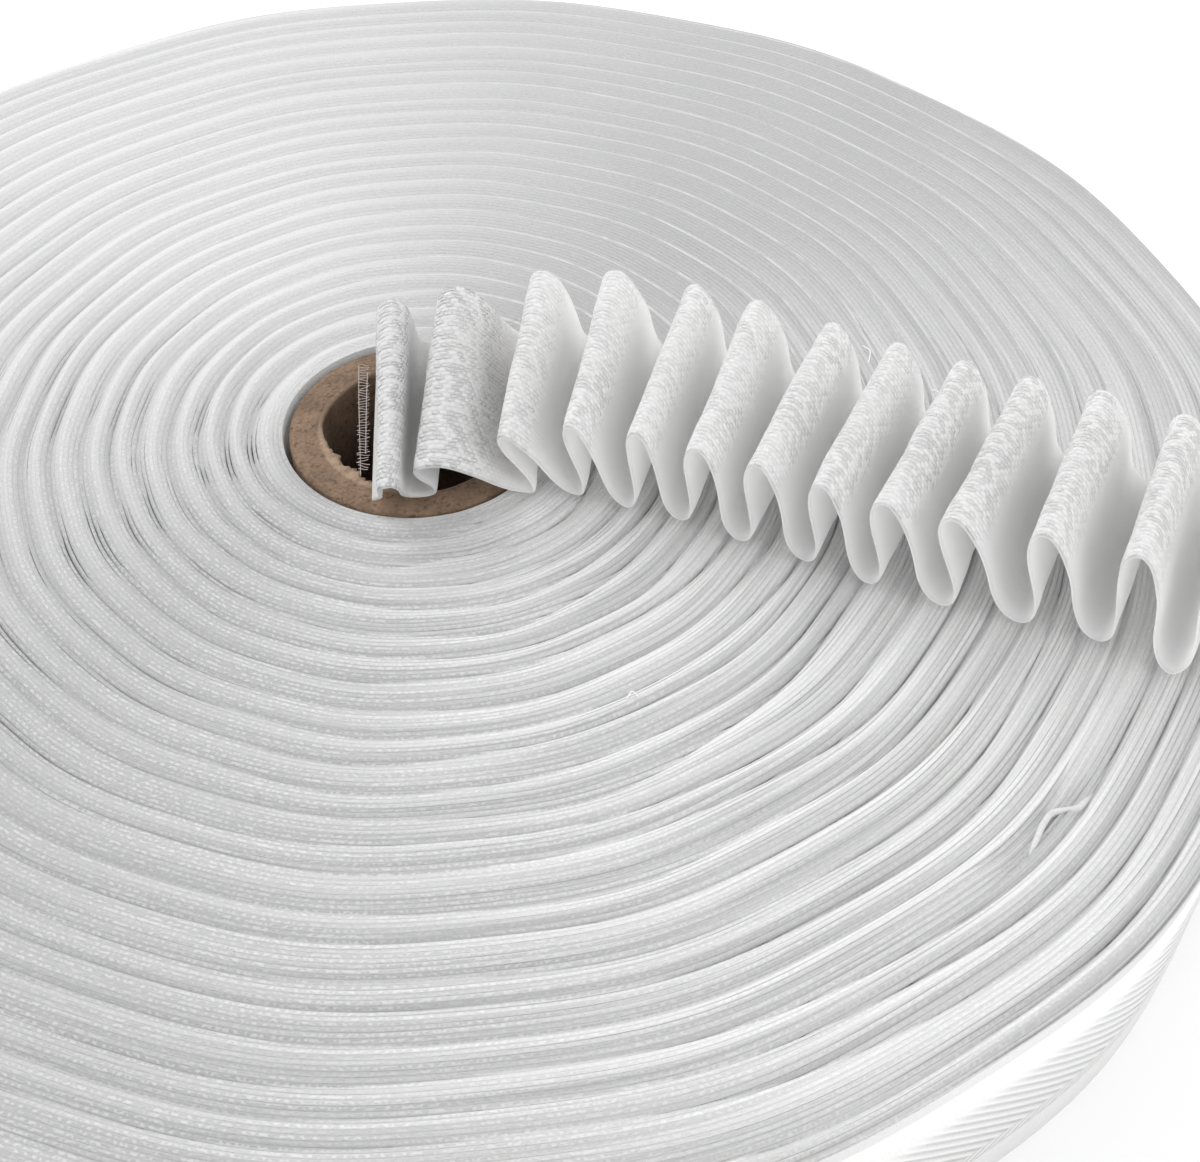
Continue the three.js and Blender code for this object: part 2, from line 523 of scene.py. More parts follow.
@dataclass(frozen=True)
class ThreadFinish(Finish):
    """Fine white or faintly pink thread."""

    low: Colour = rgba(0.5, 0.44, 0.43)
    bump_depth: float = 0.03 * MM

    def build(self) -> bpy.types.Material:
        """Makes the material: a plain thread with a fine twist.

        Returns:
            The material.
        """
        material, graph, shader = self.start()
        place = self.place(graph)
        twist = graph.noise(place, 3000.0, 2.0)
        graph.feed(shader.inputs["Base Color"], graph.blend(twist, self.low, self.colour))
        self.bump(graph, shader, twist)
        return material


@dataclass(frozen=True)
class FloorFinish(Finish):
    """Plain pale floor."""

    light: Colour = rgba(0.96, 0.96, 0.96)

    def build(self) -> bpy.types.Material:
        """Makes the material: one even colour with a faint grain.

        Returns:
            The material.
        """
        material, graph, shader = self.start()
        grain = graph.noise(self.place(graph), 40.0, 2.0)
        graph.feed(shader.inputs["Base Color"], graph.blend(grain, self.colour, self.light))
        return material


def mesh_piece(name: str, points: list, faces: list, material: bpy.types.Material) -> bpy.types.Object:
    """Makes a smooth-shaded object at the origin.

    Args:
        name: the piece's name.
        points: its points, in metres.
        faces: its faces, as point numbers.
        material: its material.

    Returns:
        The new object.
    """
    mesh = bpy.data.meshes.new(name)
    mesh.from_pydata(points, [], faces)
    mesh.materials.append(material)
    mesh.shade_smooth()
    mesh.update()
    piece = bpy.data.objects.new(name, mesh)
    bpy.context.collection.objects.link(piece)
    return piece


def store(piece: bpy.types.Object, name: str, values: list) -> None:
    """Keeps one number for each point of a piece's mesh."""
    layer = piece.data.attributes.new(name, "FLOAT", "POINT")
    layer.data.foreach_set("value", values)


@dataclass
class ShapeTree:
    """A Geometry Nodes tree with named inputs, and the piece that it makes."""

    name: str
    sizes: dict[str, float | int]
    material: bpy.types.Material
    graph: Graph = field(init=False)
    inlets: dict[str, str] = field(init=False, default_factory=dict)

    def __post_init__(self) -> None:
        """Makes the empty tree and its interface."""
        tree = bpy.data.node_groups.new(self.name, "GeometryNodeTree")
        tree.interface.new_socket("Geometry", in_out="INPUT", socket_type="NodeSocketGeometry")
        tree.interface.new_socket("Geometry", in_out="OUTPUT", socket_type="NodeSocketGeometry")
        for name, value in self.sizes.items():
            kind = "NodeSocketInt" if isinstance(value, int) else "NodeSocketFloat"
            inlet = tree.interface.new_socket(name, in_out="INPUT", socket_type=kind)
            self.inlets[name] = inlet.identifier
        self.graph = Graph(tree, Domain.SHAPE)
        self.source = self.graph.node("NodeGroupInput")

    def size(self, name: str) -> Wire:
        """One of the tree's named inputs."""
        return self.graph.wire(self.source, name)

    def line(self, count: object) -> bpy.types.NodeSocket:
        """A row of points, to be moved into place."""
        return self.graph.node("GeometryNodeMeshLine", {"mode": "OFFSET"}, {"Count": count}).outputs[0]

    def keep(self, geometry: bpy.types.NodeSocket, name: str, value: object) -> bpy.types.NodeSocket:
        """Stores a number on the points of a geometry.

        Args:
            geometry: the geometry.
            name: the attribute's name.
            value: the number, a constant or a wire.

        Returns:
            The geometry with the attribute.
        """
        return self.graph.node(
            "GeometryNodeStoreNamedAttribute",
            {"data_type": "FLOAT", "domain": "POINT"},
            {"Geometry": geometry, "Name": name, "Value": value},
        ).outputs[0]

    def curve(
        self, line: bpy.types.NodeSocket, place: bpy.types.NodeSocket, kept: dict[str, Wire]
    ) -> bpy.types.NodeSocket:
        """Moves a line's points into place and makes it a curve.

        Args:
            line: the points.
            place: where each one goes.
            kept: the numbers to keep on them, by name.

        Returns:
            The curve.
        """
        values = {"Geometry": line, "Position": place}
        moved = self.graph.node("GeometryNodeSetPosition", None, values).outputs[0]
        for name, value in kept.items():
            moved = self.keep(moved, name, value)
        return self.graph.node("GeometryNodeMeshToCurve", None, {0: moved}).outputs[0]

    def upright(self, curve: bpy.types.NodeSocket) -> bpy.types.NodeSocket:
        """Turns a curve's normals so that a section stands upright on it."""
        return self.graph.node("GeometryNodeSetCurveNormal", {"mode": "Z_UP"}, {"Curve": curve}).outputs[0]

    def sweep(self, path: bpy.types.NodeSocket, section: bpy.types.NodeSocket) -> bpy.types.NodeSocket:
        """Sweeps a section along a path and closes its ends."""
        values = {"Curve": path, "Profile Curve": section, "Fill Caps": True}
        return self.graph.node("GeometryNodeCurveToMesh", None, values).outputs[0]

    def threads(self, paths: list[bpy.types.NodeSocket], sides: int) -> bpy.types.Object:
        """Makes round threads of the tree's radius.

        Args:
            paths: the curves that they follow.
            sides: how many sides a thread has.

        Returns:
            The joined threads.
        """
        joined = self.graph.node("GeometryNodeJoinGeometry")
        for path in paths:
            self.graph.feed(joined.inputs[0], path)
        values = {"Resolution": sides, "Radius": self.size("Radius")}
        ring = self.graph.node("GeometryNodeCurvePrimitiveCircle", None, values)
        return self.piece(self.sweep(joined.outputs[0], ring.outputs[0]))

    def piece(self, result: bpy.types.NodeSocket) -> bpy.types.Object:
        """Ends the tree, evaluates it and keeps the result as a plain mesh.

        Args:
            result: the geometry that the tree has made.

        Returns:
            An object at the origin with no modifier.
        """
        smooth = self.graph.node("GeometryNodeSetShadeSmooth", None, {0: result})
        real = self.graph.node("GeometryNodeRealizeInstances", None, {"Geometry": smooth.outputs[0]})
        dressed = self.graph.node(
            "GeometryNodeSetMaterial", None, {"Geometry": real.outputs[0], "Material": self.material}
        )
        final = self.graph.node("NodeGroupOutput")
        self.graph.feed(final.inputs[0], dressed.outputs[0])
        carrier = bpy.data.objects.new(self.name, bpy.data.meshes.new(self.name + "_carrier"))
        bpy.context.collection.objects.link(carrier)
        modifier = carrier.modifiers.new("shape", "NODES")
        modifier.node_group = self.graph.tree
        for name, value in self.sizes.items():
            modifier[self.inlets[name]] = value
        evaluated = carrier.evaluated_get(bpy.context.evaluated_depsgraph_get())
        mesh = bpy.data.meshes.new_from_object(evaluated)
        mesh.name = self.name
        carrier.modifiers.remove(modifier)
        carrier.data = mesh
        if not mesh.materials:
            mesh.materials.append(self.material)
        return carrier


class Region(Enum):
    """Stretches of the roll's face, by the angle of their middle."""

    FRONT = -50
    RIGHT = 35
    UP = 100
    BACK = 145
    LEFT = 192
    NEAR_LEFT = 238

    def weight(self, angle: Wire, width: float) -> Wire:
        """How strongly a place belongs to this stretch.

        Args:
            angle: the place's angle round the roll.
            width: a larger power makes the stretch narrower.

        Returns:
            1 in its middle, down to 0 at a quarter turn from it.
        """
        return (angle - math.radians(self.value)).cos().most(0.0) ** width


@dataclass
class WoundTape:
    """The tape on the core: one spiral of tape, made in four stretches of turns."""

    bore: float = 14.3 * MM
    radius: float = 92.2 * MM
    width: float = 25 * MM
    turns: int = 156
    steps: int = 240
    turns_a_band: float = 6.5
    relief: float = 0.22 * MM
    front_relief: float = 1.3 * MM
    back_relief: float = 0.5 * MM
    left_relief: float = 0.6 * MM
    core_x: float = -2.4 * MM
    core_y: float = 0.1 * MM
    corners: int = 14
    corner_height: float = 0.3 * MM
    fill: float = 0.4995
    hollow_turn: float = 128.5
    hollow_angle: float = math.radians(-50)
    hollow_half: float = math.radians(7)
    hollow_depth: float = 0.9 * MM
    hollow_turns: float = 3.2
    edge_corner: float = 0.06 * MM
    edge_shoulder: float = 0.008 * MM
    edge_crown: float = 0.002 * MM
    drift: float = 0.35 * MM
    drift_room: float = 9 * MM
    slack_depth: float = 0.9 * MM
    settled_from: float = 8 * MM
    settled_to: float = 0.5 * MM
    stretches: tuple[tuple[str, int, int], ...] = (
        ("tape_turns_core", 0, 39),
        ("tape_turns_inner", 39, 78),
        ("tape_turns_outer", 78, 117),
        ("tape_turns_rim", 117, 156),
    )

    def pitch(self) -> float:
        """Room that one turn takes."""
        return (self.radius - self.bore) / self.turns

    def section(self, tree: ShapeTree) -> bpy.types.NodeSocket:
        """The tape's cross-section, as a closed curve.

        Args:
            tree: the tree that makes the winding.

        Returns:
            The curve, with its place across the tape kept on its points.
        """
        half = self.pitch() * self.fill
        inner = half - self.edge_corner
        top = self.width
        outline = [
            (half, self.edge_shoulder),
            (inner, 0.0),
            (-inner, 0.0),
            (-half, self.edge_shoulder),
            (-half, top - self.edge_shoulder),
            (-inner, top - self.edge_crown),
            (0.0, top),
            (inner, top - self.edge_crown),
            (half, top - self.edge_shoulder),
            (half, top - self.settled_to),
        ]
        graph = tree.graph
        index = graph.node("GeometryNodeInputIndex")
        chooser = graph.node("GeometryNodeIndexSwitch", {"data_type": "VECTOR"})
        while len(chooser.index_switch_items) < len(outline):
            chooser.index_switch_items.new()
        graph.feed(chooser.inputs["Index"], index.outputs[0])
        slots = [socket for socket in chooser.inputs if socket.type == "VECTOR"]
        for slot, (x, z) in zip(slots, outline):
            slot.default_value = (x, -z, 0.0)
        x, z, _ = graph.split(graph.node("GeometryNodeInputPosition").outputs[0])
        curve = tree.curve(tree.line(len(outline)), chooser.outputs[0], {"side": x, "across": -z})
        closed = graph.node("GeometryNodeSetSplineCyclic", None, {"Geometry": curve, "Cyclic": True})
        return closed.outputs[0]

    def spiral(self, tree: ShapeTree) -> bpy.types.NodeSocket:
        """The tape's path round the core, as a curve.

        Args:
            tree: the tree that makes the winding.

        Returns:
            The curve, with its turn and its length kept on its points.
        """
        graph = tree.graph
        line = tree.line(tree.size("Turns") * self.steps + 1.0)
        index = graph.wire(graph.node("GeometryNodeInputIndex"))
        turn = index / self.steps + tree.size("First turn")
        angle = turn * FULL_TURN
        share = turn / self.turns
        radius = turn * self.pitch() + (self.bore + self.pitch() / 2)
        corner = ((angle * self.corners).cos() - 1.0) * self.corner_height * share
        wave = (angle * 2.0 + radius * (1 / self.drift_room)).sin() * self.drift
        reach = radius + corner + wave * (1 - share) * (share * 4.0).least(1.0)
        x = angle.cos() * reach + (1 - share) * self.core_x
        y = angle.sin() * reach + (1 - share) * self.core_y
        length = turn * FULL_TURN * (turn * (self.pitch() / 2) + self.bore)
        return tree.upright(tree.curve(line, graph.vector(x, y, 0.0), {"turn": turn, "along": length}))

    def band(self, graph: Graph, turn: Wire, angle: Wire, front: Wire) -> tuple[Wire, Wire]:
        """Height of the banded face.

        Args:
            graph: the winding's graph.
            turn: the turn, with its part for each side of the tape.
            angle: the angle round the roll.
            front: how strongly the place belongs to the front.

        Returns:
            The height, from 0 in a groove to 1 on a crest, and the place across the band.
        """
        ring = graph.vector(angle.cos() * 0.9, angle.sin() * 0.9, turn * 0.075)
        sway = graph.noise(ring, 1.0, 1.0) - 0.5
        phase = (turn / self.turns_a_band + sway * (front * 1.5 + 0.7)).fract()
        mound = (1 - abs(phase * 2.0 - 1.0) ** 2.0) ** 0.62
        saw = phase * (1 - phase.ease(0.90, 1.0))
        swell = 0.5 - (phase * FULL_TURN).cos() * 0.5
        right = Region.RIGHT.weight(angle, 1.2).least(1.0)
        soft = Region.BACK.weight(angle, 0.8)
        return mound.toward(saw, right).toward(swell, soft * 0.75), phase

    def settle(self, tree: ShapeTree, geometry: bpy.types.NodeSocket) -> bpy.types.NodeSocket:
        """Lets the turns stand unevenly, in bands with a sharp groove between, and stores painted light and
        shade on them.

        Args:
            tree: the tree that makes the winding.
            geometry: the swept tape.

        Returns:
            The tape with its upper edge settled.
        """
        graph = tree.graph
        turn = graph.attribute("turn")
        side = graph.attribute("side")
        across = graph.attribute("across")
        angle = turn * FULL_TURN
        front = Region.FRONT.weight(angle, 1.0)
        back = Region.BACK.weight(angle, 1.0)
        left = Region.LEFT.weight(angle, 7.0)
        height, phase = self.band(graph, turn + side / self.pitch(), angle, front)
        lone = graph.vector(angle.cos() * 1.6 + 9.0, angle.sin() * 1.6, turn * 0.55)
        slow = graph.vector(angle.cos() * 3.4, angle.sin() * 3.4 + 4.0, turn * 0.27)
        stray = graph.noise(lone, 1.0, 1.0) - 0.5
        low = (1 - height).ease(0.25, 0.8)
        started = turn.ease(0.5, 7.0)
        loose = left * low * 1.2 + front ** 3.0 * 0.08
        slack = graph.noise(slow, 1.0, 1.0).ease(0.52, 0.60) * loose * started
        inner = 1 - phase.ease(0.25, 0.6)
        dotted = Region.NEAR_LEFT.weight(angle, 1.5)
        calm = 1 - dotted * 0.75
        cords = Region.LEFT.weight(angle, 2.0) * self.left_relief
        relief = (front ** 1.5 * self.front_relief + self.relief) * calm + back * self.back_relief + cords
        relief = relief * (started * 0.85 + 0.15) * (calm * 0.6 + 0.4)
        edge = (abs(side) / (self.pitch() * self.fill)) ** 8.0
        nick = (stray + 0.05).most(0.0) * front ** 4.0 * 0.05
        groove = edge * (slack * self.slack_depth + nick * MM)
        sunk = (stray - 0.02).most(0.0) * (inner * 0.7 + 0.5) * front ** 4.0 * calm * MM + 0.03 * MM
        away = abs(angle - turn.floor() * FULL_TURN - (self.hollow_angle + FULL_TURN))
        hollow = (1 - away / self.hollow_half).most(0.0).ease(0.0, 0.7)
        hollow = hollow * (1 - abs(turn - self.hollow_turn) / self.hollow_turns).most(0.0).ease(0.0, 0.6)
        drop = relief * (1 - height) + groove + sunk + hollow * self.hollow_depth
        upper = across.ease(self.width - self.settled_from, self.width - self.settled_to)
        offset = graph.vector(0.0, 0.0, -(drop * upper))
        # Painted highlight: a bright line near each band's crest on the right stretch; the noise below breaks
        # it up.
        line = phase.ease(0.80, 0.88) * (1 - phase.ease(0.94, 0.99)) * Region.RIGHT.weight(angle, 3.0)
        ring = graph.vector(angle.cos() * 30.0, angle.sin() * 30.0, turn)
        frayed = graph.noise(ring, 1.0, 2.0).ease(0.35, 0.6)
        # Painted shade: the right and near-left stretches are made darker.
        painted_dark_stretches = Region.RIGHT.weight(angle, 1.0) * 0.9 + Region.NEAR_LEFT.weight(angle, 1.0) * 1.25
        # Painted light and shade: the far side of each front band is lighter, the front, back and rim top are
        # lighter, and the left cords are lighter on top and darker in their grooves.
        painted_light = (
            (1 - phase.ease(0.15, 0.8)) * 0.85 * front
            + front ** 2.0 * 0.3
            + back ** 2.0 * 0.6
            + cords * (0.55 / self.left_relief) * (height - 0.6)
            + Region.UP.weight(angle, 4.0) * 0.32
        )
        # Stored as the crest attribute: painted light and shade for the tape's finish.
        crest = line * (frayed * 0.7 + 0.3) + painted_light - painted_dark_stretches * 0.4
        moved = graph.node("GeometryNodeSetPosition", None, {"Geometry": geometry, "Offset": offset})
        return tree.keep(tree.keep(moved.outputs[0], "crest", crest), "dotted", dotted)

    def build(self, material: bpy.types.Material) -> list[bpy.types.Object]:
        """Makes the stretches of turns.

        Args:
            material: the tape's finish.

        Returns:
            One closed piece for each stretch.
        """
        pieces = []
        for name, first, last in self.stretches:
            tree = ShapeTree(name, {"First turn": first, "Turns": last - first}, material)
            swept = tree.sweep(self.spiral(tree), self.section(tree))
            pieces.append(tree.piece(self.settle(tree, swept)))
        return pieces


@dataclass
class LooseTurn:
    """One slack turn that has sprung a little way in, leaving a small gap behind it."""

    radius: float = 80.3 * MM
    middle: float = math.radians(-48.6)
    before: float = math.radians(5.2)
    after: float = math.radians(2.0)
    reach: float = math.radians(9)
    spring: float = 1.6 * MM
    thickness: float = 0.6 * MM
    top: float = 24.72 * MM
    end_drop: float = 1.8 * MM
    depth: float = 5 * MM
    fillet: float = 0.28 * MM
    # tone: the painted light level that the strip carries in its crest attribute.
    tone: float = 0.6
    steps: int = 240

    def build(self, material: bpy.types.Material) -> bpy.types.Object:
        """Sweeps the turn's upper part along its sprung path.

        Args:
            material: the tape's finish.

        Returns:
            The closed strip.
        """
        tree = ShapeTree(
            "loose_turn",
            {"Radius": self.radius, "Spring": self.spring, "Thickness": self.thickness, "Top": self.top},
            material,
        )
        graph = tree.graph
        share = graph.wire(graph.node("GeometryNodeInputIndex")) / (self.steps - 1)
        angle = share * (2 * self.reach) + (self.middle - self.reach)
        rise = angle.ease(self.middle - self.before, self.middle)
        fall = 1 - angle.ease(self.middle, self.middle + self.after)
        radius = tree.size("Radius") - tree.size("Spring") * rise * fall
        ends = share.ease(0.0, 0.4) * (1 - share.ease(0.58, 0.85))
        z = tree.size("Top") - (1 - ends) * self.end_drop
        place = graph.vector(angle.cos() * radius, angle.sin() * radius, z)
        path = tree.upright(tree.curve(tree.line(self.steps), place, {"along": angle * radius}))
        section = graph.node(
            "GeometryNodeCurvePrimitiveQuadrilateral",
            None,
            {"Width": tree.size("Thickness"), "Height": self.depth},
        )
        lowered = graph.node(
            "GeometryNodeTransform",
            None,
            {"Geometry": section.outputs[0], "Translation": (0.0, self.depth / 2, 0.0)},
        )
        rounded = graph.node(
            "GeometryNodeFilletCurve",
            {"mode": "POLY"},
            {"Curve": lowered.outputs[0], "Count": 4, "Radius": self.fillet},
        )
        swept = tree.sweep(path, rounded.outputs[0])
        across = graph.split(graph.node("GeometryNodeInputPosition").outputs[0])[2]
        kept = tree.keep(swept, "across", across)
        # The strip's crest attribute is a fixed painted light level.
        return tree.piece(tree.keep(kept, "crest", self.tone))


@dataclass
class CoreTube:
    """The cardboard tube in the middle, its inner ply torn at the front left."""

    radius: float = 13.9 * MM
    bore: float = 10.4 * MM
    height: float = 24.6 * MM
    centre_x: float = -2.4 * MM
    centre_y: float = 0.1 * MM
    segments: int = 256
    tear_angle: float = math.radians(222)
    tear_spread: float = math.radians(52)
    tear_reach: float = 1.0 * MM
    rim: float = 0.35 * MM

    def outline(self) -> list[Point]:
        """The tube's section, from its outside over the top to its bore.

        Returns:
            Radius, height and how far a tear moves it, for each point.
        """
        rim, top = self.rim, self.height
        outer = [
            (self.radius - rim, 0.0, 0.0),
            (self.radius, rim, 0.0),
            (self.radius, top * 0.5, 0.0),
            (self.radius, top - rim, 0.0),
            (self.radius - rim * 0.4, top - rim * 0.2, 0.0),
        ]
        cut = [
            (self.radius + (self.bore - self.radius) * share, top, share ** 3)
            for share in (0.2, 0.4, 0.6, 0.8, 0.92)
        ]
        inner = [
            (self.bore, top - 0.15 * MM, 1.0),
            (self.bore, top - 0.6 * MM, 0.9),
            (self.bore, top - 1.4 * MM, 0.6),
            (self.bore, top - 3.0 * MM, 0.25),
            (self.bore, top * 0.5, 0.0),
            (self.bore, rim, 0.0),
            (self.bore + rim, 0.0, 0.0),
        ]
        return outer + cut + inner

    def build(self, material: bpy.types.Material) -> bpy.types.Object:
        """Turns the section and tears its inner mouth.

        Args:
            material: the board's finish.

        Returns:
            The closed tube.
        """
        section = self.outline()
        points, faces = [], []
        for step in range(self.segments):
            angle = FULL_TURN * step / self.segments
            away = abs((angle - self.tear_angle + math.pi) % FULL_TURN - math.pi)
            torn = max(0.0, 1 - (away / self.tear_spread) ** 2)
            for number, (radius, height, share) in enumerate(section):
                rough = noise.noise(Vector((math.cos(angle) * 5, math.sin(angle) * 5, 0.2)))
                shred = noise.noise(Vector((math.cos(angle) * 12, math.sin(angle) * 12, 0.7)))
                pull = torn * share * self.tear_reach * (0.7 + rough * 0.9 + abs(shred) * 1.1)
                lift = share * torn * 0.5 * MM * shred - 0.08 * MM * max(0.0, rough) * (height > 0.02)
                reach = radius - max(pull, 0.0) + 0.05 * MM * rough * (height > 0.5 * MM)
                points.append(
                    (
                        self.centre_x + reach * math.cos(angle),
                        self.centre_y + reach * math.sin(angle),
                        min(height + lift, self.height),
                    )
                )
        size = len(section)
        for step in range(self.segments):
            here, there = step * size, ((step + 1) % self.segments) * size
            for number in range(size):
                after = (number + 1) % size
                faces.append((here + number, there + number, there + after, here + after))
        return mesh_piece("core_board", points, faces, material)


@dataclass(frozen=True)
class Crest:
    """Top of one pleat, in millimetres from the core's centre, heights above the roll's face."""

    near_x: float
    near_y: float
    far_x: float
    far_y: float
    near_rise: float = 11.0
    far_rise: float = 11.0


@dataclass(frozen=True)
class Bottom:
    """Foot between two pleats, in millimetres from the core's centre."""

    near_x: float
    near_y: float
    far_x: float
    far_y: float


CRESTS = (
    Crest(-3.4, -16.6, -1.7, 7.3, 7.0, 12.0),
    Crest(1.6, -14.2, 5.8, 8.6, 7.0, 12.0),
    Crest(8.7, -12.2, 15.5, 10.5, 8.5, 12.0),
    Crest(15.6, -13.2, 23.5, 10.3, 10.0, 11.5),
    Crest(22.0, -15.4, 32.1, 7.4, 10.5, 11.0),
    Crest(27.7, -19.2, 38.5, 3.9),
    Crest(33.3, -22.0, 45.8, -0.8),
    Crest(39.0, -25.6, 52.0, -4.8),
    Crest(44.6, -28.8, 58.3, -8.5),
    Crest(50.7, -31.6, 64.5, -11.7),
    Crest(58.9, -34.7, 71.4, -14.9),
    Crest(67.2, -38.6, 78.7, -19.5),
    Crest(74.5, -42.3, 85.0, -24.0, 10.5, 10.5),
)
BOTTOMS = (
    Bottom(-5.2, -11.9, -3.8, 10.4),
    Bottom(-0.8, -11.8, 3.0, 13.6),
    Bottom(11.5, -12.6, 14.0, 13.2),
    Bottom(16.3, -13.4, 22.1, 10.3),
    Bottom(21.2, -15.9, 30.6, 7.9),
    Bottom(26.4, -18.4, 37.3, 4.5),
    Bottom(32.2, -22.0, 44.5, 0.1),
    Bottom(38.2, -25.6, 50.9, -4.1),
    Bottom(43.9, -29.5, 57.2, -7.8),
    Bottom(50.6, -33.2, 63.4, -11.1),
    Bottom(57.8, -36.3, 70.2, -14.3),
    Bottom(64.6, -39.6, 77.4, -18.7),
    Bottom(70.4, -44.6, 83.9, -23.2),
    Bottom(77.6, -46.4, 88.2, -26.6),
)


@dataclass
class GatheredEnd:
    """The loose end, drawn into upright pleats and laid across the face."""

    face: float = 25 * MM
    width: float = 25 * MM
    thickness: float = 0.42 * MM
    foot: float = 25.8 * MM
    core_x: float = -2.4 * MM
    core_y: float = -0.4 * MM
    fullness: float = 0.19
    flap_fullness: float = 0.05
    slope: float = 0.5
    flap: int = 1
    woven_to: float = 0.44
    flap_woven_to: float = 1.1
    ripple: float = 0.2 * MM
    fine_ripple: float = 0.06 * MM
    look_ahead: float = 0.02
    steps_a_wall: int = 20
    steps_across: int = 40

    def edge(self, end: str, walk: float) -> Vector:
        """Middle line of the sheet on one selvedge.

        Args:
            end: near or far.
            walk: how many walls along, even ones rising and odd ones falling.

        Returns:
            The point, in metres.
        """
        wall = min(int(walk), len(CRESTS) * 2 - 1)
        share = walk - wall
        index = wall // 2
        rising = wall % 2 == 0
        crest, before, after = CRESTS[index], BOTTOMS[index], BOTTOMS[index + 1]

        def at(row: Crest | Bottom) -> Vector:
            """Plan position of a row's end."""
            return Vector((getattr(row, end + "_x"), getattr(row, end + "_y"))) * MM

        middle = (at(before) + at(after)) / 2
        full = self.flap_fullness if index == self.flap and not rising else self.fullness
        to_top = share if rising else 1 - share
        full *= 1 if rising else 1 - self.slope * self.step(0.25, 0.75, to_top)
        along = to_top + full * math.sin(FULL_TURN * to_top)
        climbed = (1 - math.cos(math.pi * to_top)) / 2
        start = at(before if rising else after)
        plan = start.lerp(middle, along) + (at(crest) - middle) * climbed
        top = self.face + getattr(crest, end + "_rise") * MM
        return Vector(
            (self.core_x + plan.x, self.core_y + plan.y, self.foot + (top - self.foot) * climbed)
        )

    def middle(self, across: float, walk: float) -> Vector:
        """Middle of the sheet's thickness at a place on it."""
        return self.edge("near", walk).lerp(self.edge("far", walk), across)

    def length(self) -> float:
        """Length of the tape in the pleats.

        Returns:
            The length along its middle line, in metres.
        """
        walls = len(CRESTS) * 2
        steps = walls * self.steps_a_wall
        places = [self.middle(0.5, walls * step / steps) for step in range(steps + 1)]
        return sum((b - a).length for a, b in zip(places, places[1:]))

    def build(self, material: bpy.types.Material) -> bpy.types.Object:
        """Makes the pleated sheet with both its faces.

        Args:
            material: the weave finish.

        Returns:
            The closed sheet.
        """
        walls = len(CRESTS) * 2
        rows = walls * self.steps_a_wall
        columns = self.steps_across
        upper, lower, along, across, crest, depth = [], [], [], [], [], []
        travelled = 0.0
        last = self.middle(0.5, 0.0)
        for row in range(rows + 1):
            walk = walls * row / rows
            here = self.middle(0.5, walk)
            travelled += (here - last).length
            last = here
            before, after = max(walk - self.look_ahead, 0), min(walk + self.look_ahead, walls)
            near, far = (self.edge(end, after) - self.edge(end, before) for end in ("near", "far"))
            breadth = self.edge("far", walk) - self.edge("near", walk)
            away = abs((walk % 2) - 1)
            on_flap = int(walk / 2) == self.flap and walk % 2 >= 1
            # Near the crest the weave's float pattern is drawn; beyond it the weave finish paints the walls'
            # shade instead.
            woven = 1 - self.step(0.28, self.flap_woven_to if on_flap else self.woven_to, away)
            for column in range(columns + 1):
                share = column / columns
                normal = near.lerp(far, share).cross(breadth).normalized()
                bead = 1.0 - 0.35 * max(0.0, 1 - min(share, 1 - share) * 25) - 0.5 * max(0.0, 1 - row / 6)
                point = self.middle(share, walk)
                wave = noise.noise(point * 140) * self.ripple + noise.noise(point * 420) * self.fine_ripple
                upper.append(point + normal * (self.thickness / 2 * bead + wave))
                lower.append(point - normal * (self.thickness / 2 * bead - wave))
                along.append(travelled)
                across.append(share * self.width)
                depth.append(away)
                crest.append(woven)
        shift = len(upper)
        stride = columns + 1
        faces = []
        for row in range(rows):
            for column in range(columns):
                a = row * stride + column
                b, c, d = a + 1, a + stride + 1, a + stride
                faces.append((a, d, c, b))
                faces.append((a + shift, b + shift, c + shift, d + shift))
        rims = []
        for row in range(rows):
            here, there = row * stride, (row + 1) * stride
            rims += [(here, there), (there + columns, here + columns)]
        for column in range(columns):
            end = rows * stride + column
            rims += [(column + 1, column), (end, end + 1)]
        faces += [(a, a + shift, b + shift, b) for a, b in rims]
        piece = mesh_piece("pleated_tape", upper + lower, faces, material)
        store(piece, "along", along * 2)
        store(piece, "across", across * 2)
        store(piece, "crest", crest + [0.0] * len(crest))
        store(piece, "depth", depth * 2)
        return piece

    @staticmethod
    def step(low: float, high: float, value: float) -> float:
        """Smooth step from 0 at low to 1 at high."""
        share = min(1.0, max(0.0, (value - low) / (high - low)))
        return share * share * (3 - 2 * share)


